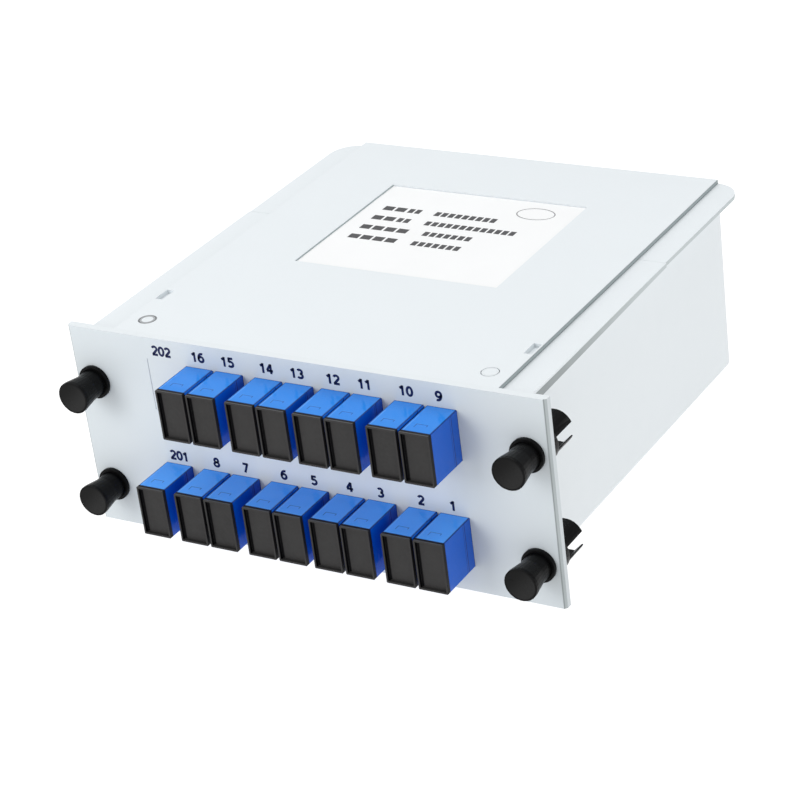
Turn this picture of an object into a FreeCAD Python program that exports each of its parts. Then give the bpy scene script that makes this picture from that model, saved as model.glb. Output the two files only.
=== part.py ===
import FreeCAD, Part
import math
import os

# Plug-in 2:16 PLC fibre splitter cassette.  Millimetres, +Z up, front panel facing -Y.
# The origin is the middle of the bounding box's underside.

V = FreeCAD.Vector

# ---- Case ----
body_width = 100.0          # over the tray's side walls
body_height = 51.1          # two 25.4 mm rack slots together
case_depth = 115.3          # panel front face to rear edge
ear_width = 12.0            # panel beyond each side wall
panel_thick = 2.0
panel_chamfer = 0.6
tray_sheet = 1.0
tray_bend = 1.8             # outside radius of the tray's folds
lid_sheet = 1.0
lid_roll = 0.3              # radius rolled onto the lid's long edges

# ---- Guide flanges along the top edges ----
flange_reach = 6.8          # rear flange, beyond the side wall
guide_reach = 7.1           # front guide, beyond the side wall
guide_length = 68.0         # from the panel's rear face
guide_nose = 2.6            # wedge thickness at the panel
guide_tail = 1.0            # wedge thickness at the rear end
guide_leg = 12.0            # welded leg inside the side wall
guide_sheet = 1.5
flange_corner = 7.0
guide_seam = 0.05

# ---- Lid details ----
label_width = 54.0
label_length = 46.4
label_shift = 1.0           # label's middle, left of the lid's middle
label_from_panel = 45.7     # panel front face to the label's near edge
label_recess = 0.5
label_thick = 0.15
label_margin = 0.15
tab_slot_width = 2.0
tab_slot_length = 5.0
tab_slot_from_panel = 18.0
tab_slot_inset = 1.5        # slot centre, in from the lid's side edge
rivet_inset = 5.3           # rivet axis, in from the lid's side edge
rivet_from_panel = 8.0
rivet_radius = 1.6
rivet_head = 1.9
rivet_ring = 0.2            # groove left round the sunk head
lug_width = 6.0
lug_length = 13.0
lug_thick = 2.0
lug_offset = 0.7            # lug's middle, in from the rivet's axis

# ---- SC adapters and their dust caps ----
input_port = 201            # number of the fitted input port
adapter_width = 7.35
adapter_height = 12.4
adapter_corner = 0.15       # bevel of the housing's long edges
housing_reach = 11.3        # adapter in front of the panel
cap_lip = 1.0
pair_gap = 0.75             # between the adapters of a pair
bank_gap = 3.05             # between pairs
centre_gap = 2.05           # between the two halves of the bank
bank_shift = 5.3            # bank's middle, right of the panel's middle
upper_row_drop = 12.0       # upper row's middle, down from the panel's top edge
lower_row = 12.65
neck_width = 6.75           # adapter where it passes through the panel
neck_height = 11.8
neck_reach = 12.0           # adapter behind the panel
socket_width = 5.9
socket_height = 10.6
keyway_width = 2.4
keyway_depth = 0.45
web_front = -2.0            # divider between the two sockets, from the panel's front face
web_back = -0.4
tube_radius = 2.1           # sleeve holder
tube_half = 7.0             # sleeve holder, each way from the web's middle
barb_height = 0.45
barb_length = 3.0
barb_width = 3.0
barb_root = 0.2             # barb's foot inside the neck's wall
sleeve_outer = 1.6
sleeve_inner = 1.25
sleeve_length = 11.4
sleeve_slit = 0.4
cap_rim = 0.45
cap_recess = 0.8
cap_plug_length = 5.3
tube_room = 0.2             # round the sleeve holder
hidden_flat_count = 8       # flats that stand for the round of a hidden sleeve or bore

# ---- Blanked input port ----
blank_width = 7.9
blank_height = 13.0
blank_setback = 0.1
blank_lip = 0.7
blank_lip_thick = 1.0

# ---- Push-pull latches ----
latch_inset = 5.5           # latch axis, in from the panel's end
latch_upper_drop = 13.7     # upper latches, down from the panel's top edge
latch_lower = 10.3          # lower latches, up from the panel's bottom edge
grommet_flange = 4.1
grommet_flange_thick = 1.0
grommet_neck = 3.85
grommet_collar = 4.5        # unsplit barrel just behind the panel
grommet_collar_length = 3.6
grommet_leg = 4.2           # the two legs behind the collar
grommet_leg_wall = 0.6      # at its thickest, since the room inside the legs has flats
grommet_reach = 11.1        # legs' ends, from the panel's rear face
grommet_slot = 3.2
shaft_radius = 3.3
knob_radius = 3.95
knob_reach = 9.0            # knob's face from the panel, pulled out
knob_disc = 0.8
knob_taper = 4.2
pin_flat_count = 28         # narrow flats that stand for the round of a pin and its bore
shaft_beyond_panel = 3.4    # pin's end behind the panel, pulled out

# ---- Fits ----
slip = 0.05                 # sliding fit, each side
press_room = 0.05           # snap-in fit, each side

# ---- Inside ----
plug_length = 20.0
boot_length = 15.0
boot_base = 5.2
boot_tip = 2.2
chip_width = 12.0
chip_height = 4.0
chip_boot_length = 8.0
chip_boot_wide = (9.6, 3.6)     # width and height at the chip case
chip_boot_slim = (4.8, 2.4)     # and at the ribbon
chip_boot_gap = 3.0         # chip boots to the loop bundle
clip_sheet = 0.8
clip_width = 8.0
clip_foot = 3.0
loop_wall_gap = 1.5         # loop bundle to the side walls
loop_front = 50.0           # from the panel's front face
loop_rear_gap = 5.8         # loop bundle to the rear wall
loop_corner = 20.0
loop_flat_count = 4
loop_band = 6.0
loop_height = 5.0
ribbon_thick = 1.0
ribbon_width = 3.0
fan_in = 0.15               # the fibres close up to this share of their spread
clip_corner_gap = 0.5       # front clips to the start of the loop's corners

# ---- Derived places ----
adapter_reach = housing_reach + cap_lip
panel_y = (adapter_reach - case_depth) / 2
rear_y = panel_y + case_depth
panel_back = panel_y + panel_thick
panel_width = body_width + 2 * ear_width
latch_x = panel_width / 2 - latch_inset
deck_z = body_height - lid_sheet
wall_x = body_width / 2
inner_x = wall_x - tray_sheet
upper_row = body_height - upper_row_drop
latch_upper = body_height - latch_upper_drop
loop_half_width = inner_x - loop_wall_gap
loop_rear = case_depth - tray_sheet - loop_rear_gap
front_clip_x = loop_half_width - loop_corner - clip_width / 2 - clip_corner_gap
chip_length = 2 * (loop_half_width - loop_band - chip_boot_gap - chip_boot_length)
web_middle = (web_front + web_back) / 2
plug_width = socket_width - 2 * slip
plug_height = socket_height - 2 * slip
plug_front = web_back + 0.3
plug_end = plug_front + plug_length
boot_end = plug_end + boot_length


# ---- Small helpers ----
def block(width, height, y0, y1, x=0.0, z=0.0):
    """Block centred on x and z, running from y0 to y1."""
    return Part.makeBox(width, y1 - y0, height, V(x - width / 2, y0, z - height / 2))


def span(x0, x1, y0, y1, z0, z1):
    return Part.makeBox(x1 - x0, y1 - y0, z1 - z0, V(x0, y0, z0))


def lines_along(shape, direction):
    """Straight edges parallel to a direction."""
    picked = []
    for edge in shape.Edges:
        if isinstance(edge.Curve, Part.Line) and abs(edge.Curve.Direction.dot(direction)) > 0.999:
            picked.append(edge)
    return picked


def bevelled_block(width, height, y0, y1, bevel):
    """Block along Y whose four long edges are bevelled."""
    half_x, half_z = width / 2, height / 2
    outline = []
    for x, z in ((1, 1), (-1, 1), (-1, -1), (1, -1)):
        corner = [V(x * half_x, y0, z * (half_z - bevel)), V(x * (half_x - bevel), y0, z * half_z)]
        outline += corner if x == z else reversed(corner)
    face = Part.Face(Part.makePolygon(outline + outline[:1]))
    return face.extrude(V(0, y1 - y0, 0))


def flat_sided_ring(apothem, flats, y):
    """Regular polygon round the Y axis, measured across its flats."""
    corner = apothem / math.cos(math.pi / flats)
    points = []
    for index in range(flats + 1):
        angle = (2 * index + 1) * math.pi / flats
        points.append(V(corner * math.cos(angle), y, corner * math.sin(angle)))
    return Part.makePolygon(points)


def flat_sided_rod(apothem, y0, y1, flats=hidden_flat_count):
    ring = flat_sided_ring(apothem, flats, y0)
    return Part.Face(ring).extrude(V(0, y1 - y0, 0))


def pin_ring(radius, y):
    """Many-sided ring whose corners lie on the radius, for the outside of a round pin."""
    return flat_sided_ring(radius * math.cos(math.pi / pin_flat_count), pin_flat_count, y)


def pin_rod(radius, y0, y1):
    return Part.Face(pin_ring(radius, y0)).extrude(V(0, y1 - y0, 0))


def taper(near, far, y0, y1):
    """Flat-sided taper along Y between two (x0, x1, z0, z1) rectangles."""
    return Part.makeWedge(near[0], y0, near[2], far[2], far[0], near[1], y1, near[3], far[3], far[1])


def rod(radius, y0, y1, x=0.0, z=0.0):
    return Part.makeCylinder(radius, y1 - y0, V(x, y0, z), V(0, 1, 0))


def side_profile(points, x0, x1):
    """Prism across X from (y, z) points."""
    corners = [V(x0, y, z) for y, z in points]
    face = Part.Face(Part.makePolygon(corners + corners[:1]))
    return face.extrude(V(x1 - x0, 0, 0))


def moved(shape, x=0.0, y=0.0, z=0.0):
    copy = shape.copy()
    copy.translate(V(x, y, z))
    return copy


def mirrored(shape):
    """The same piece on the other side of the case."""
    return shape.mirror(V(0, 0, 0), V(1, 0, 0))


def fused(pieces):
    return pieces[0].multiFuse(pieces[1:]).removeSplitter()


# ---- Port layout ----
def bank_columns():
    """X of the eight output columns, left to right."""
    first = (adapter_width + centre_gap) / 2
    second = first + adapter_width + pair_gap
    third = second + adapter_width + bank_gap
    fourth = third + adapter_width + pair_gap
    half = [first, second, third, fourth]
    return [bank_shift - x for x in reversed(half)] + [bank_shift + x for x in half]


def input_column():
    return bank_columns()[0] - adapter_width - bank_gap


def port_places():
    """Port number to the (x, z) of its middle; the blanked input above is not listed."""
    places = {input_port: (input_column(), lower_row)}
    columns = bank_columns()
    for index, x in enumerate(columns):
        places[2 * len(columns) - index] = (x, upper_row)
        places[len(columns) - index] = (x, lower_row)
    return dict(sorted(places.items()))


def latch_places():
    return {
        "upper_left": (-latch_x, latch_upper),
        "upper_right": (latch_x, latch_upper),
        "lower_left": (-latch_x, latch_lower),
        "lower_right": (latch_x, latch_lower),
    }


# ---- Case pieces ----
def guide_wedge(x0, x1):
    """Wedge-thick leg of a front guide, thicker towards the panel."""
    tail_y = panel_back + guide_length
    outline = [
        (panel_back, deck_z),
        (tail_y, deck_z),
        (tail_y, deck_z - guide_tail),
        (panel_back, deck_z - guide_nose),
    ]
    return side_profile(outline, x0, x1)


def guide():
    """Right-hand guide: wedge outside the wall, welded leg inside it."""
    top = guide_wedge(inner_x - guide_sheet, wall_x + guide_reach)
    tail_y = panel_back + guide_length
    leg = span(inner_x - guide_sheet, inner_x, panel_back, tail_y, deck_z - guide_leg, deck_z)
    return fused([top, leg])


def rear_flange():
    """Right-hand out-turned edge of the tray, behind the guide."""
    start = panel_back + guide_length + guide_seam
    plate = span(inner_x, wall_x + flange_reach, start, rear_y, deck_z - tray_sheet, deck_z)
    corner = [e for e in lines_along(plate, V(0, 0, 1)) if e.Vertexes[0].X > wall_x]
    corner = [e for e in corner if e.Vertexes[0].Y > start + flange_corner]
    return plate.makeFillet(flange_corner, corner)


def tray():
    """Floor, side walls and rear wall folded from one sheet, with the rear flanges."""
    outer = span(-wall_x, wall_x, panel_back, rear_y, 0, deck_z)
    folds = [e for e in outer.Edges if e.BoundBox.ZMax < 0.001 and e.BoundBox.YMax > panel_back + 1]
    outer = outer.makeFillet(tray_bend, folds)
    hollow = span(-inner_x, inner_x, panel_back - 1, rear_y - tray_sheet, tray_sheet, body_height)
    folds = [e for e in hollow.Edges if e.BoundBox.ZMax < tray_sheet + 0.001
             and e.BoundBox.YMax > panel_back]
    hollow = hollow.makeFillet(tray_bend - tray_sheet, folds)
    flange = rear_flange()
    body = fused([outer.cut(hollow), flange, mirrored(flange)])
    seat = guide_wedge(inner_x - 1, wall_x + 1)
    return body.cut(seat).cut(mirrored(seat))


def front_panel():
    """Thick plate with ears, cut-outs for the adapters and the blank, and latch holes."""
    plate = span(-panel_width / 2, panel_width / 2, panel_y, panel_back, 0, body_height)
    rims = [e for e in lines_along(plate, V(0, 0, 1)) if e.Vertexes[0].Y < panel_y + 0.01]
    plate = plate.makeChamfer(panel_chamfer, rims)
    cuts = []
    opening_width = neck_width + 2 * press_room
    opening_height = neck_height + 2 * press_room
    for x, z in port_places().values():
        cuts.append(block(opening_width, opening_height, panel_y - 1, panel_back + 1, x, z))
    cuts.append(block(blank_width, blank_height, panel_y - 1, panel_back + 1,
                      input_column(), upper_row))
    for x, z in latch_places().values():
        cuts.append(rod(grommet_neck + press_room, panel_y - 1, panel_back + 1, x, z))
    return plate.cut(cuts)


def lid_lug():
    """Right-hand lug welded behind the panel, which the lid is riveted to."""
    lug = block(lug_width, lug_thick, panel_back, panel_y + lug_length,
                wall_x - rivet_inset - lug_offset, deck_z - lug_thick / 2)
    return lug.cut(rivet_hole())


def rivet_axis():
    return V(wall_x - rivet_inset, panel_y + rivet_from_panel, 0)


def rivet_hole():
    """Right-hand hole through the lug."""
    axis = rivet_axis()
    return Part.makeCylinder(rivet_radius + slip, 3 * lug_thick,
                             V(axis.x, axis.y, deck_z - 2 * lug_thick))


def rivet():
    """Flush rivet: its head fills the lid's thickness and its shank fills the lug's hole."""
    axis = rivet_axis()
    shank = Part.makeCylinder(rivet_radius, lug_thick, V(axis.x, axis.y, deck_z - lug_thick))
    head = Part.makeCylinder(rivet_head, lid_sheet, V(axis.x, axis.y, deck_z))
    return fused([shank, head])


def lid():
    """Flat cover with rolled long edges, two slots, two rivet seats and a label recess."""
    plate = span(-wall_x, wall_x, panel_back, rear_y, deck_z, body_height)
    rolled = [e for e in lines_along(plate, V(0, 1, 0)) if e.Vertexes[0].Z > deck_z + 0.01]
    plate = plate.makeFillet(lid_roll, rolled)
    slot = block(tab_slot_width, lid_sheet * 3, panel_y + tab_slot_from_panel,
                 panel_y + tab_slot_from_panel + tab_slot_length,
                 wall_x - tab_slot_inset, deck_z)
    axis = rivet_axis()
    seat = Part.makeCylinder(rivet_head + rivet_ring, 3 * lid_sheet,
                             V(axis.x, axis.y, deck_z - lid_sheet))
    right_cuts = [slot, seat]
    recess = label_block(label_margin, body_height - label_recess, body_height + 1)
    return plate.cut(right_cuts + [mirrored(cut) for cut in right_cuts] + [recess])


def label_block(margin, z0, z1):
    near = panel_y + label_from_panel
    half = label_width / 2 + margin
    return span(-half - label_shift, half - label_shift, near - margin,
                near + label_length + margin, z0, z1)


def label():
    floor = body_height - label_recess
    return label_block(0, floor, floor + label_thick)


# ---- Adapter, dust cap, sleeve and plug: each about its own axis, y from the panel's face ----
def keyed_socket(y0, y1):
    """Plug cavity with the polarity keyway in its roof."""
    room = block(socket_width, socket_height, y0, y1)
    key = block(keyway_width, 2 * keyway_depth, y0, y1, 0, socket_height / 2)
    return fused([room, key])


def barb():
    """Snap wedge on top of the neck, just behind the panel."""
    foot = neck_height / 2
    start = panel_thick + press_room
    outline = [
        (start, foot - barb_root),
        (start, foot + barb_height),
        (start + barb_length, foot - barb_root),
    ]
    return side_profile(outline, -barb_width / 2, barb_width / 2)


def adapter():
    """Housing, neck with two snap wedges, a keyed socket each way and the sleeve holder."""
    neck_end = panel_thick + neck_reach
    housing = bevelled_block(adapter_width, adapter_height, -housing_reach, 0, adapter_corner)
    neck = block(neck_width, neck_height, 0, neck_end)
    lower_barb = barb().mirror(V(0, 0, 0), V(0, 0, 1))
    body = fused([housing, neck, barb(), lower_barb])
    body = body.cut([keyed_socket(-housing_reach, web_front), keyed_socket(web_back, neck_end)])
    tube = flat_sided_rod(tube_radius, web_middle - tube_half, web_middle + tube_half)
    bore = flat_sided_rod(sleeve_outer + slip, web_middle - tube_half, web_middle + tube_half)
    return fused([body, tube]).cut(bore)


def tube_clearance(y0, y1):
    """Square room round the sleeve holder."""
    side = 2 * (tube_radius + tube_room)
    return block(side, side, y0, y1)


def dust_cap():
    """Lip of the adapter's outline with a recessed face, and a plug for the socket."""
    lip_front = -housing_reach - cap_lip
    lip = bevelled_block(adapter_width, adapter_height, lip_front, -housing_reach, adapter_corner)
    plug_tip = -housing_reach + cap_plug_length
    body = fused([lip, block(plug_width, plug_height, -housing_reach, plug_tip)])
    face = block(adapter_width - 2 * cap_rim, adapter_height - 2 * cap_rim,
                 lip_front, lip_front + cap_recess)
    return body.cut([face, tube_clearance(web_middle - tube_half - tube_room, plug_tip)])


def alignment_sleeve():
    """Ceramic sleeve with a slit along it."""
    y0 = web_middle - sleeve_length / 2
    y1 = y0 + sleeve_length
    slit = span(0, 2 * sleeve_outer, y0, y1, -sleeve_slit / 2, sleeve_slit / 2)
    return flat_sided_rod(sleeve_outer, y0, y1).cut([flat_sided_rod(sleeve_inner, y0, y1), slit])


def rear_plug():
    """SC plug pushed in from behind, with its boot; the ferrule is left to the sleeve."""
    shell = block(plug_width, plug_height, plug_front, plug_end)
    room_end = web_middle + tube_half + tube_room
    shell = shell.cut(tube_clearance(plug_front, room_end))
    base, tip = boot_base / 2, boot_tip / 2
    boot = taper((-base, base, -base, base), (-tip, tip, -tip, tip), plug_end, boot_end)
    return fused([shell, boot])


def port_blank():
    """Blank for the unused input port, fitted from behind and set back a little."""
    plug = block(blank_width - 2 * press_room, blank_height - 2 * press_room,
                 blank_setback, panel_thick)
    lip = block(blank_width + 2 * blank_lip, blank_height + 2 * blank_lip,
                panel_thick, panel_thick + blank_lip_thick)
    return moved(fused([plug, lip]), input_column(), panel_y, upper_row)


# ---- Latch pieces, about their own axis, y from the panel's front face ----
def latch_grommet():
    """Split bushing: flange, neck through the panel, collar and two springy legs behind it."""
    collar_end = panel_thick + grommet_collar_length
    leg_end = panel_thick + grommet_reach
    body = fused([
        rod(grommet_flange, -grommet_flange_thick, 0),
        pin_rod(grommet_neck, 0, panel_thick),
        rod(grommet_collar, panel_thick, collar_end),
        pin_rod(grommet_leg, collar_end, leg_end),
    ])
    return body.cut([
        flat_sided_rod(shaft_radius + slip, -grommet_flange_thick, collar_end, pin_flat_count),
        flat_sided_rod(grommet_leg - grommet_leg_wall, collar_end, leg_end),
        block(2 * grommet_leg + 1, grommet_slot, collar_end, leg_end),
    ])


def latch_plunger():
    """Spool-shaped push-pull pin, drawn pulled out."""
    sections = [
        (knob_radius, -knob_reach),
        (knob_radius, knob_disc - knob_reach),
        (shaft_radius, knob_disc + knob_taper - knob_reach),
        (shaft_radius, panel_thick + shaft_beyond_panel),
    ]
    return Part.makeLoft([pin_ring(radius, y) for radius, y in sections], True, True)


# ---- Inside pieces ----
def chip_case():
    y = loop_middle()
    return span(-chip_length / 2, chip_length / 2, y - chip_width / 2, y + chip_width / 2,
                tray_sheet, tray_sheet + chip_height)


def loop_middle():
    return panel_y + (loop_front + loop_rear) / 2


def chip_boot():
    """Rubber strain relief on the right end of the chip case."""
    middle_z = tray_sheet + chip_height / 2
    wide = end_face(chip_boot_wide, middle_z)
    slim = end_face(chip_boot_slim, middle_z)
    boot = taper(wide, slim, 0, chip_boot_length)
    boot.rotate(V(0, 0, 0), V(0, 0, 1), -90)
    return moved(boot, chip_length / 2, loop_middle(), 0)


def end_face(size, middle_z):
    """Rectangle for taper(), centred on x = 0."""
    width, height = size
    return (-width / 2, width / 2, middle_z - height / 2, middle_z + height / 2)


def saddle(width, height):
    """Strap over something on the tray's floor, with two feet; it spans Y at the origin."""
    half = width / 2 + clip_sheet
    outer = span(-clip_width / 2, clip_width / 2, -half, half, 0, height + clip_sheet)
    feet = span(-clip_width / 2, clip_width / 2, -half - clip_foot, half + clip_foot, 0, clip_sheet)
    room = span(-clip_width, clip_width, -width / 2, width / 2, -1, height)
    strap = fused([outer, feet]).cut(room)
    strap.translate(V(0, 0, tray_sheet))
    return strap


def chip_clip():
    return moved(saddle(chip_width + 2 * slip, chip_height + slip), 0, loop_middle(), 0)


def bundle_plate(half_width, y0, y1, corner, z0, z1):
    """Plate whose corners turn in a few flats, as a stiff fibre bundle does."""
    corner = min(corner, half_width, (y1 - y0) / 2)
    points = []
    for quarter, (side, y) in enumerate(((1, y1), (-1, y1), (-1, y0), (1, y0))):
        middle_x = side * (half_width - corner)
        middle_y = y + (-corner if y == y1 else corner)
        for step in range(loop_flat_count + 1):
            angle = (quarter + step / loop_flat_count) * math.pi / 2
            points.append(V(middle_x + corner * math.cos(angle),
                            middle_y + corner * math.sin(angle), z0))
    return Part.Face(Part.makePolygon(points + points[:1])).extrude(V(0, 0, z1 - z0))


def fibre_fan(row_z):
    """Flat fan of fibres from one row of plugs down to the loop."""
    columns = [x for x, z in port_places().values() if z == row_z]
    half_thick = ribbon_thick / 2
    middle_z = tray_sheet + loop_height / 2
    low, high = min(columns) - half_thick, max(columns) + half_thick
    near = (low, high, row_z - half_thick, row_z + half_thick)
    far = (low * fan_in, high * fan_in, middle_z - half_thick, middle_z + half_thick)
    return taper(near, far, panel_y + boot_end, panel_y + loop_front + loop_band / 2)


def chip_ribbon():
    """Ribbon from the right-hand chip boot to the loop."""
    middle_z = tray_sheet + chip_height / 2
    return span(chip_length / 2 + chip_boot_length, loop_half_width - loop_band / 2,
                loop_middle() - ribbon_width / 2, loop_middle() + ribbon_width / 2,
                middle_z - ribbon_thick / 2, middle_z + ribbon_thick / 2)


def fibre_loops():
    """Flat loop bundle on the floor, fanned out to the plugs and joined to both chip boots."""
    front = panel_y + loop_front
    rear = panel_y + loop_rear
    top = tray_sheet + loop_height
    ring = bundle_plate(loop_half_width, front, rear, loop_corner, tray_sheet, top)
    hole = bundle_plate(loop_half_width - loop_band, front + loop_band, rear - loop_band,
                         loop_corner - loop_band, tray_sheet - 1, top + 1)
    return fused([ring.cut(hole), fibre_fan(upper_row), fibre_fan(lower_row),
                  chip_ribbon(), mirrored(chip_ribbon())])


def fibre_clips():
    """Saddles that hold the loop bundle to the floor, either side of the fan and at the rear."""
    strap = saddle(loop_band + 2 * slip, loop_height + slip)
    front = panel_y + loop_front + loop_band / 2
    rear = panel_y + loop_rear - loop_band / 2
    places = [(-front_clip_x, front), (front_clip_x, front), (0, rear)]
    return Part.makeCompound([moved(strap, x, y, 0) for x, y in places])


# ---- Assembly ----
def at_ports(shape):
    """One copy of a piece at each fitted port, by port number."""
    return {port: moved(shape, x, panel_y, z) for port, (x, z) in port_places().items()}


def build():
    right_guide = guide()
    nodes = {
        "tray": tray(),
        "front_panel": front_panel(),
        "lid": lid(),
        "label": label(),
        "guide_right": right_guide,
        "guide_left": mirrored(right_guide),
        "lid_lugs": Part.makeCompound([lid_lug(), mirrored(lid_lug())]),
        "lid_rivets": Part.makeCompound([rivet(), mirrored(rivet())]),
        "port_blank": port_blank(),
        "alignment_sleeves": Part.makeCompound(list(at_ports(alignment_sleeve()).values())),
        "rear_connectors": Part.makeCompound(list(at_ports(rear_plug()).values())),
        "splitter_chip_case": chip_case(),
        "splitter_boots": Part.makeCompound([chip_boot(), mirrored(chip_boot())]),
        "chip_clip": chip_clip(),
        "fibre_loops": fibre_loops(),
        "fibre_clips": fibre_clips(),
    }
    for port, shape in at_ports(adapter()).items():
        nodes[f"adapter_{port:02d}"] = shape
    for port, shape in at_ports(dust_cap()).items():
        nodes[f"dust_cap_{port:02d}"] = shape
    nodes["latch_grommets"] = Part.makeCompound(
        [moved(latch_grommet(), x, panel_y, z) for x, z in latch_places().values()])
    for corner, (x, z) in latch_places().items():
        nodes[f"latch_plunger_{corner}"] = moved(latch_plunger(), x, panel_y, z)
    return nodes


os.makedirs("parts", exist_ok=True)
for name, shape in build().items():
    shape.exportStep(f"parts/{name}.step")
    print(name, "valid" if shape.isValid() else "INVALID", "solids", len(shape.Solids),
          "volume", round(shape.Volume, 2))
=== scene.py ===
import math

import bpy
from mathutils import Matrix, Vector


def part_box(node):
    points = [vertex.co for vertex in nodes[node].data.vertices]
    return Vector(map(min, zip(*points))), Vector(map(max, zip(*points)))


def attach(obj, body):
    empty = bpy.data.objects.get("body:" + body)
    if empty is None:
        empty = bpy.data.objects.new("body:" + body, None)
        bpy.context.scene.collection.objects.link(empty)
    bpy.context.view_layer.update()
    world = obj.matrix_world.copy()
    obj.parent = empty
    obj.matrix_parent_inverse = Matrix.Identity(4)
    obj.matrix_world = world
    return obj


# Plug-in fibre splitter cassette.  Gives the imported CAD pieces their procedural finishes, prints
# the port numbers and the label's plain marks, and sets the stage, the lights and the camera.
# Blender works in metres; the sizes named here are in millimetres unless they say otherwise.

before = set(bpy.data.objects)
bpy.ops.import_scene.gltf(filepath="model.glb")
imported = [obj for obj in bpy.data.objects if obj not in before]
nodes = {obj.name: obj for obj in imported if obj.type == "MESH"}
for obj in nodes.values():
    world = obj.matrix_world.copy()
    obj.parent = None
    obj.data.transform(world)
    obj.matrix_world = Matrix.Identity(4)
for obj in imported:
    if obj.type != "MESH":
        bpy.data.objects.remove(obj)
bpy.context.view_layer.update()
MM = 0.001

# ---- The view, in the part's own frame ----
CAMERA_AT = Vector((293.6, -456.0, 293.4)) * MM
CAMERA_AIM = Vector((16.9, -30.2, 28.2)) * MM
CAMERA_ROLL = math.radians(-7.32)
CAMERA_LENS = 114.48
CAMERA_SHIFT = (-0.0248, 0.0244)        # shares of the picture's width
CAMERA_SENSOR = 36
CAMERA_NEAR = 10

# ---- Stage and light, in metres and watts ----
FLOOR_HALF = 6.0
FLOOR_TONE = (0.20, 0.20, 0.20, 1)
FLOOR_GLOW = 0.96                       # lifts the floor to the photo's plain white
WORLD_TONE = (0.98, 0.99, 1.0, 1)
WORLD_STRENGTH = 0.60
LIGHT_AIM = (0, 0, 0.03)
LIGHTS = (                              # name, place, side of the square, power
    ("key_softbox", (-0.34, -0.70, 0.40), 0.38, 2.1),
    ("front_softbox", (-0.42, -0.80, 0.08), 0.5, 1.75),
    ("top_softbox", (-0.15, 0.25, 1.1), 1.2, 6.4),
    ("right_softbox", (1.1, -0.1, 0.5), 0.6, 1.7),
)

# ---- Colours, linear ----
COAT = (0.760, 0.800, 0.822)
# the panel's face: the coat darkened, painted shade on an upright face
COAT_PANEL = (0.595, 0.641, 0.665)
COAT_BETWEEN = (0.665, 0.714, 0.740)    # painted light on the panel between its two rows of ports
COAT_TOP = (0.730, 0.770, 0.790)        # painted light on the panel's top edge
COAT_EDGE = (0.50, 0.550, 0.560)
COAT_NOSE = (0.27, 0.300, 0.305)        # guide flanges' cut edge, near the panel
COAT_RECESS = (0.46, 0.525, 0.540)      # painted shade on the left wall of the label's recess
COAT_SIDE = (0.350, 0.400, 0.410)       # painted shade on the lid's long edges
# painted shade on the panel's bevelled ends
COAT_CHAMFER = (0.40, 0.44, 0.45)
COAT_RING = (0.30, 0.31, 0.32)          # painted shade round the left rivet
COAT_LINE = (0.10, 0.12, 0.12)
# tops: a lit copy of the sides' blue, painted light
BLUE_TOP = (0.025, 0.238, 0.755)
BLUE_LOW = (0.055, 0.335, 0.930)        # painted light on the tops of the lower row
BLUE_SIDE = (0.002, 0.100, 0.560)
BLUE_FOOT = (0.001, 0.090, 0.520)       # side between the seam and the panel
# dark lines: joints, seams and the top mark, and painted shade
BLUE_LINE = (0.0004, 0.012, 0.14)
# painted highlight along each top
BLUE_PALE = (0.20, 0.48, 0.95)
BLUE_GAP = (0.020, 0.260, 0.950)        # painted light at the top of the narrow gap between two adapters
CAP = (0.031, 0.030, 0.030)
# painted shade on a cap's shaded walls
CAP_SHADE = (0.0006, 0.0006, 0.0015)
# painted highlight along a cap's lip
CAP_RIM = (0.085, 0.085, 0.09)
NYLON = (0.0032, 0.0032, 0.0034)
# painted light on the knobs' front faces
NYLON_FACE = (0.0060, 0.0060, 0.0060)
NYLON_GLOW = (0.0190, 0.0190, 0.0190)   # painted light on the knob's face, towards its lower right
INK = (0.0007, 0.0055, 0.048)           # port numbers
LABEL_WHITE = (0.89, 0.895, 0.895)
LABEL_INK = (0.060, 0.060, 0.063)
LABEL_FAINT = (0.16, 0.16, 0.17)

# ---- Softened edges of the CAD pieces ----
BEVEL_ADAPTER = 0.04
BEVEL_CAP = 0.03
BEVEL_LATCH = 0.1
BEVEL_SHEET = 0.05
BEVEL_FROM = math.radians(40)           # sharper edges than this are softened
WELD_REACH = 0.002

# ---- Turn of a surface towards an axis, from which a tone starts and at which it is full ----
TURN_COAT = (0.55, 0.80)
TURN_FACE = (0.50, 0.80)
TURN_BLUE = (0.50, 0.90)
TURN_TILT = (0.35, 0.55)                # the adapters' bevelled long edges
TURN_CAP = (0.50, 0.70)
TURN_LEVEL = (0.30, 0.60)               # upright faces: full below, gone above
TURN_CHAMFER = (0.50, 0.85, 0.10)       # low, high and fade of a band
TURN_CAP_FRONT = (-0.80, -0.60)         # full below the first, gone above the second
TURN_KNOB_FRONT = (-0.95, -0.80)        # likewise

# ---- Toned areas of the case ----
FLANGE_CUT = (54.0, 54.5)       # out from the middle, where the flanges' cut edge begins
FLANGE_FADE = 0.05
NOSE_PLAIN = 0.6                # top of the guides' nose that keeps the plain coat
LID_SIDE = (0.4, 0.3)           # in from the lid's long edge: gone and full
LID_LINES_FROM = (0.32, 0.28)   # likewise, for the dark lines
LID_HEAD = (0.20, 0.06, 0.04)   # down from the lid's top: far side, near side and fade
LID_FOOT = (0.1, 0.12, 0.10)    # below and above the lid's underside, and fade
LID_HEAD_TONE = 0.35
LID_FOOT_TONE = 0.7
RECESS_WALL = (0.6, 0.2, 0.1)   # left and right of the label's left edge, and fade
RING_INNER = 1.42               # ring of painted shade round a rivet
RING_OUTER = 2.20
RING_FADE = 0.08
RING_RIGHT_TONE = 0.06
RING_LEFT_MORE = 0.8            # added on the left half
RING_HALVES = (-10, 10)         # where the halves meet
FRONT_LINE = (0.66, 0.46, 0.06)     # in from the panel's end: far, near side and fade
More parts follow.
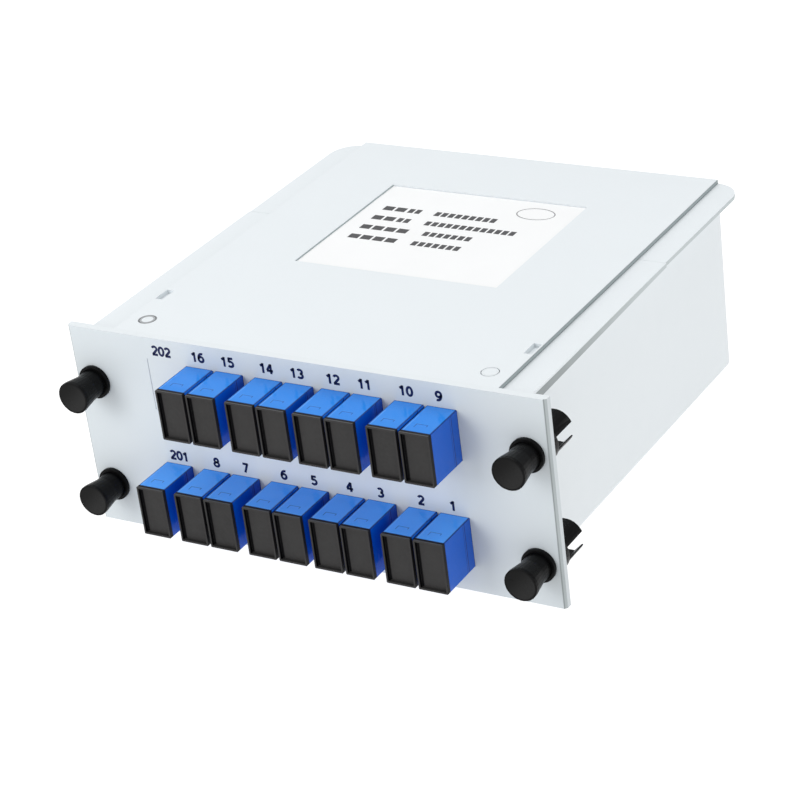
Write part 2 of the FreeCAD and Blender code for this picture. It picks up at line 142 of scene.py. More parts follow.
FRONT_LINE_DEPTH = (0.2, 0.3)       # behind the panel's face: full and gone
FRONT_LINE_TONE = 0.5
FACE_DARKENS = (-20, 50)        # painted shade, across the panel
FACE_DARKER = 0.955
BETWEEN_HALF = 3                # half height of the painted-light strip between the rows
BETWEEN_FADE_UP = 4
BETWEEN_FADE_ACROSS = 8

# ---- Toned areas of an adapter; shares are of its own box ----
PAIRS = ((16, 15), (14, 13), (12, 11), (10, 9))     # adapters of the upper row, left and right
GAP_FADE = 0.1
GAP_HEAD = (0.925, 0.945)       # share of the height at which a gap's painted-light head starts
SEAM_FROM_PANEL = 2.8           # moulding seam
SEAM_TWIN = 0.6                 # second seam, in front of the first
SEAM_WIDTH = 0.16
SEAM_FADE = 0.06
FOOT_FADE = 0.05
JOINT = (0.12, 0.24)            # behind the joint with the cap
CONTACT = (0.34, 0.10)          # painted shade in front of the panel
SIDE_EDGE = (0.24, 0.38)        # painted shade on the long edges, in from a side of the housing
MARK_FROM_JOINT = 3.2           # the small hook on top: its bar behind the joint
MARK_SPAN = (2.1, 4.9)          # across the housing
MARK_THICK = 0.15               # breadth of its two ends
MARK_BAR = 0.12                 # breadth of its bar
MARK_BAR_FADE = 0.06
MARK_LEFT_REACH = 1.3
MARK_RIGHT_REACH = 0.6
MARK_FADE = 0.05
RAIL = (0.55, 0.70)             # painted highlight line along the top, across the housing
RAIL_END = (6.5, 7.0)           # behind the joint
LOWER_ROW = (2, 3)              # above the lower adapters' tops
JOINT_TONE = 0.4
CONTACT_TONE = 0.6
EDGE_TONE = 0.9
TWIN_TONE = 0.5
RAIL_TONE = 0.35
MARK_TONE = 0.65
DARK_TONE = 0.92
TOP_POLISH = -0.10              # added to the roughness of the tops

# ---- Toned areas of a cap and of a latch; shares are of their own boxes ----
CAP_LEFT_WALL = (0.03, 0.12, 0.01)      # across: low, high and fade
CAP_LEFT_LIP = (0.078, 0.140, 0.012)
CAP_LIP_HEIGHT = (0.05, 0.93, 0.01)
CAP_FAR_SIDE = (0.95, 0.97)
CAP_RIM_FROM = (0.75, 0.60)             # painted highlight, in front of the joint
CAP_SIDE_TONE = 0.6
CAP_TOP_TONE = 0.8
KNOB_FRONT = (-58.0, -57.0)             # along the part
KNOB_DISC = (0.185, 0.205)              # square of the share out from the face's middle
KNOB_GLOW = (-0.5, 0.5)                 # rightward less upward share: dark and light

# ---- Printed marks ----
PRINT_LIFT = 0.01           # off the surface
DIGIT_WIDE = 0.57           # share of the height
DIGIT_HEIGHT = 2.02         # between the middles of the foot and head strokes
DIGIT_PITCH = 1.76
DIGIT_BREADTH = 1.14        # how far the digits are drawn out sideways
DIGIT_STROKE = 0.61
NUMBER_RISE = {"upper": 1.68, "lower": 1.23}    # foot stroke's middle above the housing
NUMBER_SHIFT = {"upper": -0.12, "lower": 0.13}
BARB_RISE = 0.15            # an adapter's snap wedge stands this far above its housing
BLANK_SHIFT = 0.3           # the blanked port's number, to the right
NUMBER_SPREAD = 0.992       # the numbers stand a little closer than their ports
LABEL_LEFT = 4.7            # first block, from the label's left edge
LABEL_BLOCK = 2.3           # blocks' height
LABEL_WIDE = (2.8, 3.4)     # wide block's width and pitch
LABEL_NARROW = (1.45, 1.92)
LABEL_ROWS = (              # middle from the rear edge, then (kind, start, count) of each run
    (12.6, ("wide", 0.0, 2), ("narrow", 7.0, 2), ("narrow", 14.4, 9)),
    (18.2, ("wide", 0.0, 2), ("narrow", 7.0, 2), ("narrow", 14.8, 13)),
    (23.8, ("wide", 0.0, 4), ("narrow", 17.4, 7)),
    (29.4, ("wide", 0.0, 4), ("narrow", 17.4, 7)),
)
OVAL_PLACE = (10.5, 6.4)    # middle, from the label's right and rear edges
OVAL_HALF = (4.8, 3.0)
OVAL_LINE = 0.26


# ---- Node helpers ----
class Tree:
    """A material's node tree with short calls for the nodes used here."""

    def __init__(self, name):
        self.material = bpy.data.materials.new(name)
        self.material.use_nodes = True
        self.nodes = self.material.node_tree.nodes
        self.links = self.material.node_tree.links
        self.shader = self.nodes["Principled BSDF"]
        coordinates = self.nodes.new("ShaderNodeTexCoord").outputs
        self.place = coordinates["Object"]
        self.own = coordinates["Generated"]
        self.normal = coordinates["Normal"]

    def set(self, **values):
        for key, value in values.items():
            self.shader.inputs[key.replace("_", " ")].default_value = value

    def noise(self, scale, detail=2.0):
        """Noise with `scale` features to the metre."""
        node = self.nodes.new("ShaderNodeTexNoise")
        node.inputs["Scale"].default_value = scale
        node.inputs["Detail"].default_value = detail
        self.links.new(self.place, node.inputs["Vector"])
        return node.outputs["Fac"]

    def grain(self, scale, detail, low, high):
        """Noise whose middle, 0.3-0.7, is drawn out to low-high."""
        node = self.nodes.new("ShaderNodeMapRange")
        node.inputs["From Min"].default_value = 0.3
        node.inputs["From Max"].default_value = 0.7
        node.inputs["To Min"].default_value = low
        node.inputs["To Max"].default_value = high
        self.links.new(self.noise(scale, detail), node.inputs["Value"])
        return node.outputs["Result"]

    def math(self, kind, first, second=None):
        """A math node on numbers or outputs."""
        node = self.nodes.new("ShaderNodeMath")
        node.operation = kind
        for socket, value in zip(node.inputs, (first, second)):
            if isinstance(value, (int, float)):
                socket.default_value = value
            elif value is not None:
                self.links.new(value, socket)
        return node.outputs[0]

    def axis(self, letter, vector=None):
        """One axis of the place in the part's frame, or of another vector."""
        node = self.nodes.new("ShaderNodeSeparateXYZ")
        self.links.new(vector or self.place, node.inputs["Vector"])
        return node.outputs[letter]

    def off_middle(self, letter, vector=None):
        """Distance from the middle along an axis, either way."""
        return self.math("ABSOLUTE", self.axis(letter, vector))

    def squares(self, first, second):
        """Sum of two squares."""
        return self.math("ADD", self.math("MULTIPLY", first, first),
                         self.math("MULTIPLY", second, second))

    def step(self, value, start, end):
        """0 below start, 1 above end."""
        node = self.nodes.new("ShaderNodeMapRange")
        node.interpolation_type = "SMOOTHSTEP"
        node.inputs["From Min"].default_value = start
        node.inputs["From Max"].default_value = end
        self.links.new(value, node.inputs["Value"])
        return node.outputs["Result"]

    def fall(self, value, start, end):
        """1 below start, 0 above end."""
        return self.unless(self.step(value, start, end))

    def band(self, value, low, high, soft):
        """1 between low and high, fading to 0 over soft."""
        rise = self.step(value, low - soft, low)
        fall = self.step(value, high, high + soft)
        return self.math("SUBTRACT", rise, fall)

    def facing(self, letter, start, end):
        """1 where the surface faces along an axis."""
        return self.step(self.axis(letter, self.normal), start, end)

    def facing_out(self, letter, start, end):
        """1 where the surface faces along an axis, either way."""
        return self.step(self.off_middle(letter, self.normal), start, end)

    def unless(self, mask):
        return self.math("SUBTRACT", 1.0, mask)

    def both(self, *masks):
        """Product of masks and strengths."""
        product = masks[0]
        for mask in masks[1:]:
            product = self.math("MULTIPLY", product, mask)
        return product

    def either(self, *masks):
        largest = masks[0]
        for mask in masks[1:]:
            largest = self.math("MAXIMUM", largest, mask)
        return largest

    def mix(self, fac, first, second):
        """Mixes two colours, each a tuple or an output."""
        node = self.nodes.new("ShaderNodeMix")
        node.data_type = "RGBA"
        self.links.new(fac, node.inputs["Factor"])
        colours = [s for s in node.inputs if s.type == "RGBA"]
        for socket, value in zip(colours, (first, second)):
            if isinstance(value, tuple):
                socket.default_value = (*value, 1)
            else:
                self.links.new(value, socket)
        return [s for s in node.outputs if s.type == "RGBA"][0]

    def colour(self, output):
        self.links.new(output, self.shader.inputs["Base Color"])

    def rough(self, output):
        self.links.new(output, self.shader.inputs["Roughness"])

    def bump(self, height, depth, strength):
        """Relief `depth` millimetres deep."""
        node = self.nodes.new("ShaderNodeBump")
        node.inputs["Strength"].default_value = strength
        node.inputs["Distance"].default_value = depth * MM
        self.links.new(height, node.inputs["Height"])
        self.links.new(node.outputs["Normal"], self.shader.inputs["Normal"])


def shade(colour, factor):
    return tuple(c * factor for c in colour)


# ---- Materials ----
def powder_coat(name, colour, accents=()):
    """Fine satin powder coat with a faint orange-peel skin, and toned areas on top."""
    tree = Tree(name)
    tone = tree.mix(tree.grain(9.0, 3.0, 0, 1), colour, shade(colour, 0.975))
    tone = tree.mix(tree.grain(2600.0, 2.0, 0, 0.25), tone, shade(colour, 0.94))
    for accent in accents:
        mask, accent_colour = accent(tree)
        tone = tree.mix(mask, tone, accent_colour)
    tree.colour(tone)
    tree.rough(tree.grain(240.0, 3.0, 0.40, 0.52))
    tree.bump(tree.noise(900.0, 2.5), 0.03, 0.35)
    return tree.material


def flange_edge(tree):
    """The sheet's cut edge along both flanges, darker towards the guides' thick nose."""
    low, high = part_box("guide_right")
    nose = tree.fall(tree.axis("Y"), low.y, high.y)
    height = tree.math("ADD", tree.axis("Z"), tree.both(nose, NOSE_PLAIN * MM))
    below = tree.fall(height, high.z - FLANGE_FADE * MM, high.z + FLANGE_FADE * MM)
    start, end = FLANGE_CUT
    edge = tree.both(tree.step(tree.off_middle("X"), start * MM, end * MM),
                     tree.fall(tree.off_middle("Z", tree.normal), *TURN_LEVEL), below)
    return edge, tree.mix(nose, COAT_EDGE, COAT_NOSE)


def lid_side(tree):
    """Painted shade on the lid's long edges, which turn away from the light."""
    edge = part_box("lid")[1].x
    start, end = LID_SIDE
    outer = tree.step(tree.off_middle("X"), edge - start * MM, edge - end * MM)
    return tree.both(tree.facing_out("X", *TURN_COAT), outer), COAT_SIDE


def recess_wall(tree):
    """Painted shade on the left wall of the label's recess, which turns away from the light."""
    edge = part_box("label")[0].x
    left, right, soft = RECESS_WALL
    near = tree.band(tree.axis("X"), edge - left * MM, edge + right * MM, soft * MM)
    return tree.both(tree.facing("X", *TURN_COAT), near), COAT_RECESS


def lid_lines(tree):
    """Thin dark lines at the head and the foot of the lid's long edges."""
    low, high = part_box("lid")
    start, end = LID_LINES_FROM
    outer = tree.step(tree.off_middle("X"), high.x - start * MM, high.x - end * MM)
    height = tree.axis("Z")
    far, near, soft = LID_HEAD
    head = tree.band(height, high.z - far * MM, high.z - near * MM, soft * MM)
    below, above, soft = LID_FOOT
    foot = tree.band(height, low.z - below * MM, low.z + above * MM, soft * MM)
    lines = tree.either(tree.both(head, LID_HEAD_TONE), tree.both(foot, LID_FOOT_TONE))
    return tree.both(outer, lines), COAT_LINE


def rivet_ring_shade(tree):
    """A grey ring of painted shade round the left rivet, faint round the right one."""
    low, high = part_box("lid_rivets")
    head = (high.y - low.y) / 2
    across = tree.math("SUBTRACT", tree.off_middle("X"), high.x - head)
    along = tree.math("SUBTRACT", tree.axis("Y"), (low.y + high.y) / 2)
    away = tree.math("SQRT", tree.squares(across, along))
    ring = tree.band(away, RING_INNER * MM, RING_OUTER * MM, RING_FADE * MM)
    start, end = RING_HALVES
    left = tree.fall(tree.axis("X"), start * MM, end * MM)
    strength = tree.math("ADD", RING_RIGHT_TONE, tree.both(left, RING_LEFT_MORE))
    return tree.both(ring, strength), COAT_RING


def panel_chamfer(tree):
    """Painted shade on the bevelled ends of the panel."""
    return tree.band(tree.off_middle("X", tree.normal), *TURN_CHAMFER), COAT_CHAMFER


def panel_front_line(tree):
    """A thin shade line where the panel's face meets its bevelled ends."""
    low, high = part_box("front_panel")
    far, near, soft = FRONT_LINE
    line = tree.band(tree.off_middle("X"), high.x - far * MM, high.x - near * MM, soft * MM)
    start, end = FRONT_LINE_DEPTH
    front = tree.fall(tree.axis("Y"), low.y + start * MM, low.y + end * MM)
    return tree.both(line, front, FRONT_LINE_TONE), COAT_LINE


def panel_face_shade(tree):
    """Painted shade: the panel's face darkens a little towards its right end."""
    start, end = FACE_DARKENS
    return tree.step(tree.axis("X"), start * MM, end * MM), shade(COAT_PANEL, FACE_DARKER)


def panel_between(tree):
    """Painted light: the face between the two rows of ports is paler."""
    low_row, high_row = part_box("adapter_08"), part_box("adapter_16")
    middle = (low_row[1].z + high_row[0].z) / 2
    left, right = low_row[1].x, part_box("adapter_01")[0].x
    height = tree.band(tree.axis("Z"), middle - BETWEEN_HALF * MM, middle + BETWEEN_HALF * MM,
                       BETWEEN_FADE_UP * MM)
    across = tree.band(tree.axis("X"), left, right, BETWEEN_FADE_ACROSS * MM)
    return tree.both(height, across), COAT_BETWEEN


def panel_top(tree):
    """Painted light on the panel's top edge, which catches the light."""
    return tree.facing("Z", *TURN_FACE), COAT_TOP


def pair_gaps(tree):
    """Masks for the walls of the narrow gap in each pair of adapters: painted light on the head and
    painted shade on the rest.
    """
    x = tree.axis("X")
    gaps = []
    for left, right in PAIRS:
        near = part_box(f"adapter_{left:02d}")[1].x
        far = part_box(f"adapter_{right:02d}")[0].x
        gaps.append(tree.band(x, near - GAP_FADE * MM, far + GAP_FADE * MM, GAP_FADE * MM))
    walls = tree.both(tree.facing_out("X", *TURN_FACE), tree.either(*gaps))
    below = tree.fall(tree.axis("Z", tree.own), *GAP_HEAD)
    return tree.both(walls, tree.unless(below)), tree.both(walls, below)


def top_mark(tree, x, y, joint_y):
    """The small hook on an adapter's top: a bar with a long left and a short right end."""
    bar_y = joint_y + MARK_FROM_JOINT * MM
    left, right = MARK_SPAN

    def end(low, reach):
        return tree.both(tree.band(x, low, low + MARK_THICK, MARK_FADE),
                         tree.band(y, bar_y - reach * MM, bar_y, MARK_FADE * MM))

    bar = tree.both(tree.band(x, left, right, MARK_FADE),
                    tree.band(y, bar_y, bar_y + MARK_BAR * MM, MARK_BAR_FADE * MM))
    return tree.either(bar, end(left, MARK_LEFT_REACH), end(right - MARK_THICK, MARK_RIGHT_REACH))


def adapter_plastic():
    """Glossy blue with side seams, dark joints and the small mark on top; painted light on the tops
    and at the heads of the pair gaps, a painted highlight line along each top, and painted shade on
    the long edges, in the pair gaps and where the housing meets the panel.
    """
    tree = Tree("adapter_plastic")
    tree.set(Specular_IOR_Level=0.26)
    low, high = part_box("adapter_01")
    panel_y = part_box("front_panel")[0].y
    joint_y = low.y
    width = (high.x - low.x) / MM
    x = tree.both(tree.axis("X", tree.own), width)
    y = tree.axis("Y")
    upward = tree.facing("Z", *TURN_BLUE)
    sideways = tree.facing("X", *TURN_BLUE)

    seams = [tree.band(y, panel_y - (SEAM_FROM_PANEL + ahead) * MM,
                       panel_y - (SEAM_FROM_PANEL + ahead - SEAM_WIDTH) * MM, SEAM_FADE * MM)
             for ahead in (0.0, SEAM_TWIN)]
    foot = tree.both(sideways, tree.step(y, panel_y - (SEAM_FROM_PANEL + FOOT_FADE) * MM,
                                         panel_y - (SEAM_FROM_PANEL - FOOT_FADE) * MM))
    joint = tree.fall(y, joint_y + JOINT[0] * MM, joint_y + JOINT[1] * MM)
    # Painted shade in front of the panel, where the housing meets it.
    contact_shade = tree.step(y, panel_y - CONTACT[0] * MM, panel_y - CONTACT[1] * MM)
    outer, inner = SIDE_EDGE
    edges = tree.either(tree.fall(x, outer, inner), tree.step(x, width - inner, width - outer))
    # Painted light at the head of each pair gap, painted shade below it.
    gap_light, gap_shade = pair_gaps(tree)
    # Dark lines: the joint with the cap and the side seams, and painted shade in front of the panel,
    # on the bevelled long edges and in the pair gaps.
    dark = tree.either(tree.both(joint, JOINT_TONE), tree.both(contact_shade, CONTACT_TONE),
                       tree.both(tree.facing("Z", *TURN_TILT), edges, EDGE_TONE),
                       tree.both(sideways, seams[0]),
                       tree.both(sideways, seams[1], TWIN_TONE), gap_shade)
    mark = tree.both(upward, top_mark(tree, x, y, joint_y))
    # Painted highlight: a pale line along the top.
    highlight_line = tree.both(upward, tree.band(x, *RAIL, MARK_FADE),
                     tree.fall(y, joint_y + RAIL_END[0] * MM, joint_y + RAIL_END[1] * MM))

    # Painted light: the tops are lighter than the sides, those of the lower row most of all.
    lower = tree.fall(tree.axis("Z"), high.z + LOWER_ROW[0] * MM, high.z + LOWER_ROW[1] * MM)
    tops = tree.mix(lower, BLUE_TOP, BLUE_LOW)
    tone = tree.mix(tree.grain(60.0, 2.0, 0, 0.12), tree.mix(upward, BLUE_SIDE, tops), BLUE_SIDE)
    tone = tree.mix(foot, tone, BLUE_FOOT)
    tone = tree.mix(gap_light, tone, BLUE_GAP)
    tone = tree.mix(tree.both(highlight_line, RAIL_TONE), tone, BLUE_PALE)
    tone = tree.mix(tree.both(mark, MARK_TONE), tone, BLUE_LINE)
    tree.colour(tree.mix(tree.both(dark, DARK_TONE), tone, BLUE_LINE))
    tree.rough(tree.math("ADD", tree.grain(420.0, 3.0, 0.15, 0.20),
                         tree.both(upward, TOP_POLISH)))
    relief = tree.math("ADD", tree.both(tree.noise(700.0), 0.12), tree.either(mark, *seams))
    tree.bump(relief, 0.03, 0.4)
    return tree.material


def cap_plastic():
    """Soft, dark satin plastic: painted shade in black on its shaded walls, and a paler painted
    highlight along the lip's top front edge.
    """
    tree = Tree("cap_plastic")
    tree.set(Specular_IOR_Level=0.14)
    joint_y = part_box("adapter_01")[0].y
    across = tree.axis("X", tree.own)
    height = tree.axis("Z", tree.own)
    rightward = tree.facing("X", *TURN_CAP)
    forward = tree.fall(tree.axis("Y", tree.normal), *TURN_CAP_FRONT)
    left_wall = tree.both(rightward, tree.band(across, *CAP_LEFT_WALL))
    left_lip = tree.both(forward, tree.band(across, *CAP_LEFT_LIP),
                         tree.band(height, *CAP_LIP_HEIGHT))
    right_side = tree.both(rightward, tree.step(across, *CAP_FAR_SIDE))
    top = tree.both(tree.facing("Z", *TURN_CAP), tree.step(height, *CAP_FAR_SIDE))
    rim_start, rim_end = CAP_RIM_FROM
    front = tree.fall(tree.axis("Y"), joint_y - rim_start * MM, joint_y - rim_end * MM)
    # Painted shade: black on the left wall, the left lip, the right side and the top behind the rim.
    black = tree.either(left_wall, left_lip, tree.both(right_side, CAP_SIDE_TONE),
                        tree.both(top, tree.unless(front), CAP_TOP_TONE))
    tone = tree.mix(tree.grain(1500.0, 3.0, 0, 1), CAP, shade(CAP, 0.85))
    tone = tree.mix(tree.grain(35.0, 2.0, 0, 0.6), tone, shade(CAP, 1.12))
    # Painted highlight along the lip's top front edge.
    tone = tree.mix(tree.both(top, front), tone, CAP_RIM)
    tree.colour(tree.mix(black, tone, CAP_SHADE))
    tree.rough(tree.grain(500.0, 3.0, 0.45, 0.6))
    tree.bump(tree.noise(2400.0), 0.03, 0.25)
    return tree.material


def nylon():
    """Black satin nylon; the knobs' round faces get a little painted light, most at their lower
    right.
    """
    tree = Tree("latch_nylon")
    tree.set(Specular_IOR_Level=0.07)
    tone = tree.mix(tree.grain(900.0, 3.0, 0, 1), NYLON, shade(NYLON, 1.6))
    front = tree.fall(tree.axis("Y", tree.normal), *TURN_KNOB_FRONT)
    knob = tree.fall(tree.axis("Y"), KNOB_FRONT[0] * MM, KNOB_FRONT[1] * MM)
    right = tree.math("SUBTRACT", tree.axis("X", tree.own), 0.5)
    up = tree.math("SUBTRACT", tree.axis("Z", tree.own), 0.5)
    disc = tree.fall(tree.squares(right, up), *KNOB_DISC)
    # Painted light on the knobs' front faces, brighter towards their lower right.
    face_light = tree.step(tree.math("SUBTRACT", right, up), *KNOB_GLOW)
    face = tree.mix(face_light, NYLON_FACE, NYLON_GLOW)
    tree.colour(tree.mix(tree.both(front, knob, disc), tone, face))
    tree.rough(tree.grain(350.0, 3.0, 0.24, 0.36))
    tree.bump(tree.noise(1800.0), 0.02, 0.35)
    return tree.material


def label_film():
    """Smooth white film with a faint cloud."""
    tree = Tree("label_film")
    tree.colour(tree.mix(tree.grain(70.0, 3.0, 0, 1), LABEL_WHITE, shade(LABEL_WHITE, 0.98)))
    tree.rough(tree.grain(800.0, 2.0, 0.34, 0.42))
    tree.bump(tree.noise(3000.0, 1.0), 0.01, 0.15)
    return tree.material


def print_ink(name, colour):
    """Printed ink, a little uneven."""
    tree = Tree(name)
    tree.set(Specular_IOR_Level=0.25)
    tree.colour(tree.mix(tree.grain(3500.0, 2.0, 0, 1), colour, shade(colour, 1.5)))
    tree.rough(tree.grain(1200.0, 2.0, 0.38, 0.5))
    return tree.material


def plain_part(name, colour, rough, scale, metallic=0.0):
    """Hidden inner parts: tone drift, roughness drift and a fine grain."""
    tree = Tree(name)
    tree.set(Metallic=metallic)
    tree.colour(tree.mix(tree.grain(scale, 2.0, 0, 1), colour, shade(colour, 0.85)))
    tree.rough(tree.grain(scale * 3, 2.0, *rough))
    tree.bump(tree.noise(scale * 4), 0.03, 0.3)
    return tree.material


def dress(node, material, bevel=0.0):
    """Gives a CAD node its finish and, if asked, softened edges."""
    obj = nodes[node]
    obj.data.materials.clear()
    obj.data.materials.append(material)
    if bevel:
        weld = obj.modifiers.new("weld", "WELD")
        weld.merge_threshold = WELD_REACH * MM
        soft = obj.modifiers.new("edges", "BEVEL")
        soft.width = bevel * MM
        soft.segments = 2
        soft.limit_method = "ANGLE"
        soft.angle_limit = BEVEL_FROM
        soft.harden_normals = True


def dress_all():
    coat = powder_coat("powder_coat", COAT)
    edged = powder_coat("powder_coat_edged", COAT, [flange_edge])
    lid_coat = powder_coat("powder_coat_lid", COAT, [lid_side, lid_lines, recess_wall, rivet_ring_shade])
    rivet_coat = powder_coat("powder_coat_rivets", COAT, [rivet_ring_shade])
    panel_coat = powder_coat("powder_coat_panel", COAT_PANEL,
                             [panel_face_shade, panel_between, panel_top, panel_chamfer,
                              panel_front_line])
    blue = adapter_plastic()
    cap = cap_plastic()
    black = nylon()
    brushed = plain_part("chip_steel", (0.5, 0.5, 0.51), (0.25, 0.4), 400.0, metallic=1.0)
    single = {
        "tray": (edged, BEVEL_SHEET),
        "guide_left": (edged, BEVEL_SHEET),
        "guide_right": (edged, BEVEL_SHEET),
        "lid": (lid_coat,),
        "lid_rivets": (rivet_coat,),
        "front_panel": (panel_coat,),
        "port_blank": (panel_coat,),
        "alignment_sleeves": (plain_part("zirconia", (0.85, 0.84, 0.8), (0.15, 0.25), 300.0),),
        "rear_connectors": (blue,),
        "splitter_chip_case": (brushed,),
        "chip_clip": (brushed,),
        "splitter_boots": (plain_part("boot_rubber", (0.02, 0.02, 0.02), (0.6, 0.8), 500.0),),
        "fibre_loops": (plain_part("fibre_jacket", (0.8, 0.6, 0.08), (0.3, 0.45), 300.0),),
        "fibre_clips": (plain_part("clip_nylon", (0.8, 0.8, 0.77), (0.4, 0.5), 400.0),),
        "label": (label_film(),),
    }
    repeated = (("adapter_", blue, BEVEL_ADAPTER), ("dust_cap_", cap, BEVEL_CAP),
                ("latch_", black, BEVEL_LATCH), ("", coat, BEVEL_SHEET))
    for name in nodes:
        if name in single:
            dress(name, *single[name])
        else:
            finish = next(row[1:] for row in repeated if name.startswith(row[0]))
            dress(name, *finish)


# ---- Printed marks ----
def add_piece(name, data, body="case"):
    """Adds a printed piece that moves with a body."""
    piece = bpy.data.objects.new(name, data)
    bpy.context.scene.collection.objects.link(piece)
    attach(piece, body)


def arc(x, y, half_x, half_y, start, end, steps=14):
    """Points along an ellipse, from one angle in degrees to another."""
    points = []
    for index in range(steps + 1):
        turn = math.radians(start + (end - start) * index / steps)
        points.append((x + half_x * math.cos(turn), y + half_y * math.sin(turn)))
    return points


def turned(strokes):
    """Strokes of a digit turned upside down."""
    return [[(DIGIT_WIDE - x, 1 - y) for x, y in stroke] for stroke in strokes]


# Strokes of each digit, in shares of its height.  The nine is the six turned upside down.
SIX = [arc(0.285, 0.31, 0.27, 0.31, 0, 365, 20), arc(0.42, 0.40, 0.405, 0.60, 72, 190)]
DIGITS = {
    "0": [arc(0.285, 0.50, 0.27, 0.50, 0, 365, 20)],
    "1": [[(0.00, 0.74), (0.34, 0.98)], [(0.30, 1.10), (0.30, -0.11)]],
    "2": [arc(0.27, 0.73, 0.26, 0.27, 165, -35) + [(0.03, 0.02)], [(-0.06, 0.0), (0.60, 0.0)]],
    "3": [arc(0.25, 0.75, 0.25, 0.25, 150, -90), arc(0.25, 0.26, 0.29, 0.26, 90, -150)],
    "4": [[(0.43, 1.06), (-0.01, 0.30)], [(-0.06, 0.27), (0.66, 0.27)],
          [(0.43, 1.10), (0.43, -0.11)]],
    "5": [[(0.56, 1.0), (0.02, 1.0)], [(0.13, 1.06), (0.08, 0.52)],
          arc(0.25, 0.31, 0.30, 0.31, 128, -145)],
    "6": SIX,
    "7": [[(-0.04, 1.0), (0.60, 1.0)], [(0.53, 1.06), (0.16, -0.11)]],
    "8": [arc(0.285, 0.76, 0.22, 0.24, 0, 365, 20), arc(0.285, 0.26, 0.275, 0.26, 0, 365, 20)],
    "9": turned(SIX),
}


def ribbon(points, half, corners, faces):
    """Adds a flat strip of even width along some points."""
    first = len(corners)
    last = len(points) - 1
    for index, point in enumerate(points):
        along = Vector(points[min(index + 1, last)]) - Vector(points[max(index - 1, 0)])
        across = Vector((-along.y, along.x)).normalized() * half
        corners += [Vector(point) + across, Vector(point) - across]
    faces += [(first + 2 * i, first + 2 * i + 1, first + 2 * i + 3, first + 2 * i + 2)
              for i in range(last)]


def port_number(text, x, foot_z, material):
    """A bold number printed on the panel's face."""
    corners, faces = [], []
    broad = DIGIT_HEIGHT * DIGIT_BREADTH
    left = x / MM - (DIGIT_PITCH * (len(text) - 1) + DIGIT_WIDE * broad) / 2
    for place, digit in enumerate(text):
        for stroke in DIGITS[digit]:
            points = [(left + place * DIGIT_PITCH + px * broad, py * DIGIT_HEIGHT)
                      for px, py in stroke]
            ribbon(points, DIGIT_STROKE / 2, corners, faces)
    face_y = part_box("front_panel")[0].y - PRINT_LIFT * MM
    flat_print("port_number_" + text, [(c.x * MM, face_y, foot_z + c.y * MM) for c in corners],
               faces, material)


def port_numbers():
    """Numbers over all fitted ports and over the blanked one."""
    material = print_ink("port_ink", INK)
    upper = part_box("adapter_16")[1].z
    low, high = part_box("port_blank")
    aside = Vector((BLANK_SHIFT * MM, 0, 0))
    places = {"202": ((low + aside, high + aside), upper)}
    for name in sorted(nodes):
        if name.startswith("adapter_"):
            places[name.removeprefix("adapter_").lstrip("0")] = (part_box(name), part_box(name)[1].z)
    for number, ((low, high), top) in places.items():
        row = "upper" if abs(top - upper) < MM else "lower"
        x = (low.x + high.x) / 2 * NUMBER_SPREAD + NUMBER_SHIFT[row] * MM
        port_number(number, x, top + (NUMBER_RISE[row] - BARB_RISE) * MM, material)


def flat_print(name, corners, faces, material):
    """A thin printed shape lying just off a surface."""
    mesh = bpy.data.meshes.new(name)
    mesh.from_pydata(corners, [], faces)
    mesh.materials.append(material)
    add_piece(name, mesh)


def oval_ring(name, middle, z, material, steps=48):
    """A thin printed oval lying on the label."""
    points = []
    half_x, half_y = OVAL_HALF
    for grow in (0, OVAL_LINE):
        for index in range(steps):
            turn = math.tau * index / steps
            points.append((middle.x + (half_x + grow) * MM * math.cos(turn),
                           middle.y + (half_y + grow) * MM * math.sin(turn), z))
    faces = [(i, (i + 1) % steps, steps + (i + 1) % steps, steps + i) for i in range(steps)]
    flat_print(name, points, faces, material)


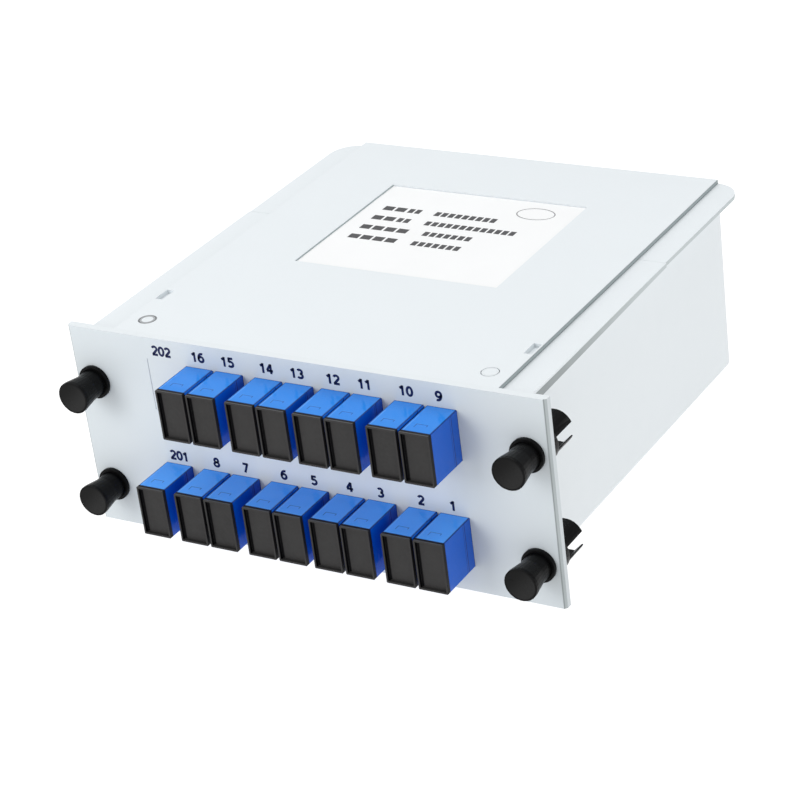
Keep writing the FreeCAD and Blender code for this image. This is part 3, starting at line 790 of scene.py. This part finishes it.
def label_marks():
    """Rows of plain blocks and an empty oval where a label's printing would be."""
    material = print_ink("label_ink", LABEL_INK)
    low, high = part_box("label")
    z = high.z + PRINT_LIFT * MM
    for row, (drop, *runs) in enumerate(LABEL_ROWS, 1):
        y = high.y - (drop + LABEL_BLOCK / 2) * MM
        corners, faces = [], []
        for kind, start, count in runs:
            width, pitch = LABEL_WIDE if kind == "wide" else LABEL_NARROW
            for index in range(count):
                x = low.x + (LABEL_LEFT + start + index * pitch) * MM
                right, rear = x + width * MM, y + LABEL_BLOCK * MM
                first = len(corners)
                corners += [(x, y, z), (right, y, z), (right, rear, z), (x, rear, z)]
                faces.append(tuple(range(first, first + 4)))
        flat_print(f"label_row_{row}", corners, faces, material)
    middle = Vector((high.x - OVAL_PLACE[0] * MM, high.y - OVAL_PLACE[1] * MM))
    oval_ring("label_oval", middle, z, print_ink("label_faint_ink", LABEL_FAINT))


# ---- Stage ----
def make_floor():
    mesh = bpy.data.meshes.new("floor")
    half = FLOOR_HALF
    corners = [(-half, -half, 0), (half, -half, 0), (half, half, 0), (-half, half, 0)]
    mesh.from_pydata(corners, [], [(0, 1, 2, 3)])
    floor = bpy.data.objects.new("floor", mesh)
    bpy.context.scene.collection.objects.link(floor)
    tree = Tree("floor_white")
    tree.set(Base_Color=FLOOR_TONE, Roughness=0.9, Specular_IOR_Level=0.1,
             Emission_Color=(1, 1, 1, 1), Emission_Strength=FLOOR_GLOW)
    mesh.materials.append(tree.material)


def make_world():
    world = bpy.data.worlds.new("studio")
    bpy.context.scene.world = world
    world.use_nodes = True
    background = world.node_tree.nodes["Background"]
    background.inputs["Color"].default_value = WORLD_TONE
    background.inputs["Strength"].default_value = WORLD_STRENGTH


def make_lights():
    """Square softboxes, all aimed at the part's middle."""
    for name, place, size, power in LIGHTS:
        light = bpy.data.lights.new(name, "AREA")
        light.shape = "SQUARE"
        light.size = size
        light.energy = power
        lamp = bpy.data.objects.new(name, light)
        bpy.context.scene.collection.objects.link(lamp)
        lamp.location = place
        lamp.rotation_mode = "QUATERNION"
        lamp.rotation_quaternion = (Vector(LIGHT_AIM) - Vector(place)).to_track_quat("-Z", "Y")


def make_camera():
    camera = bpy.data.cameras.new("camera")
    camera.lens = CAMERA_LENS
    camera.sensor_width = CAMERA_SENSOR
    camera.shift_x, camera.shift_y = CAMERA_SHIFT
    camera.clip_start = CAMERA_NEAR * MM
    holder = bpy.data.objects.new("camera", camera)
    bpy.context.scene.collection.objects.link(holder)
    turn = (CAMERA_AIM - CAMERA_AT).to_track_quat("-Z", "Y").to_matrix().to_4x4()
    holder.matrix_world = Matrix.Translation(CAMERA_AT) @ turn @ Matrix.Rotation(
        CAMERA_ROLL, 4, "Z")
    bpy.context.scene.camera = holder


make_camera()
make_floor()
make_world()
make_lights()
dress_all()
port_numbers()
label_marks()

bpy.context.scene.view_settings.view_transform = "Standard"
